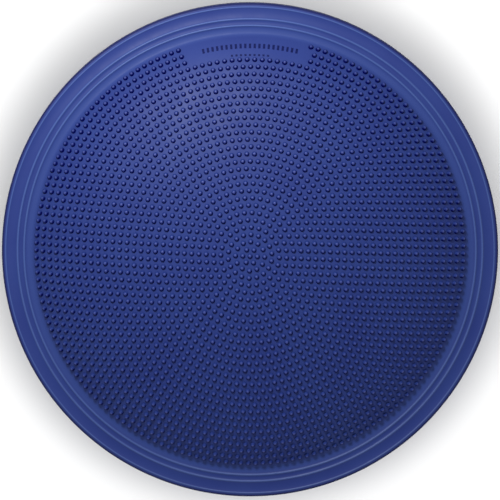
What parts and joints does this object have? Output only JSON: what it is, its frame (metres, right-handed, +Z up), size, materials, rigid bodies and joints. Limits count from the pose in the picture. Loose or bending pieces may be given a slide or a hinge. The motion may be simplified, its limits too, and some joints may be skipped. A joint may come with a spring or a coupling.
{
  "type": "balance dome trainer",
  "caption": "Low air-filled balance dome with a concentric nubbed standing surface and beaded rim on a round rigid platform with side hand recesses, rubber feet and an underside air plug.",
  "frame": {"origin": "on the floor under the centre of the platform", "axes": "+Z up through the dome's pole, +X towards the right hand recess, +Y towards the gap in the nub field"},
  "size_m": [0.6, 0.6, 0.114],
  "materials": {
    "nubbed_pvc": "satin soft PVC, moulded nubs, fine grain",
    "plug_plastic": "matte moulded",
    "deck_plastic": "matte moulded, ribbed",
    "base_plastic": "fine textured moulded",
    "soft_rubber": "matte",
    "screw_steel": "zinc plated"
  },
  "bodies": {
    "trainer": {"dome_skin": "nubbed_pvc", "dome_floor": "nubbed_pvc", "valve_body": "nubbed_pvc", "platform_deck": "deck_plastic", "clamp_ring": "deck_plastic", "side_skirt_back": "base_plastic", "side_skirt_front": "base_plastic", "base_plate": "base_plastic", "valve_well": "base_plastic", "grip_right": "soft_rubber", "grip_left": "soft_rubber", "ring_screw_01": "screw_steel", "ring_screw_02": "screw_steel", "ring_screw_03": "screw_steel", "ring_screw_04": "screw_steel", "ring_screw_05": "screw_steel", "ring_screw_06": "screw_steel", "ring_screw_07": "screw_steel", "ring_screw_08": "screw_steel", "ring_screw_09": "screw_steel", "ring_screw_10": "screw_steel", "ring_screw_11": "screw_steel", "ring_screw_12": "screw_steel", "base_screw_01": "screw_steel", "base_screw_02": "screw_steel", "base_screw_03": "screw_steel", "base_screw_04": "screw_steel", "base_screw_05": "screw_steel", "base_screw_06": "screw_steel", "base_screw_07": "screw_steel", "base_screw_08": "screw_steel", "base_screw_09": "screw_steel", "base_screw_10": "screw_steel", "foot_pad_01": "soft_rubber", "foot_pad_02": "soft_rubber", "foot_pad_03": "soft_rubber", "foot_pad_04": "soft_rubber", "foot_pad_05": "soft_rubber", "foot_pad_06": "soft_rubber", "foot_pad_07": "soft_rubber", "foot_pad_08": "soft_rubber"},
    "plug": {"valve_plug": "plug_plastic"}
  },
  "joints": [
    {"name": "plug_pull", "type": "slide", "parent": "trainer", "child": "plug", "axis": [0, 0, -1], "range_m": [0, 0.025]}
  ]
}
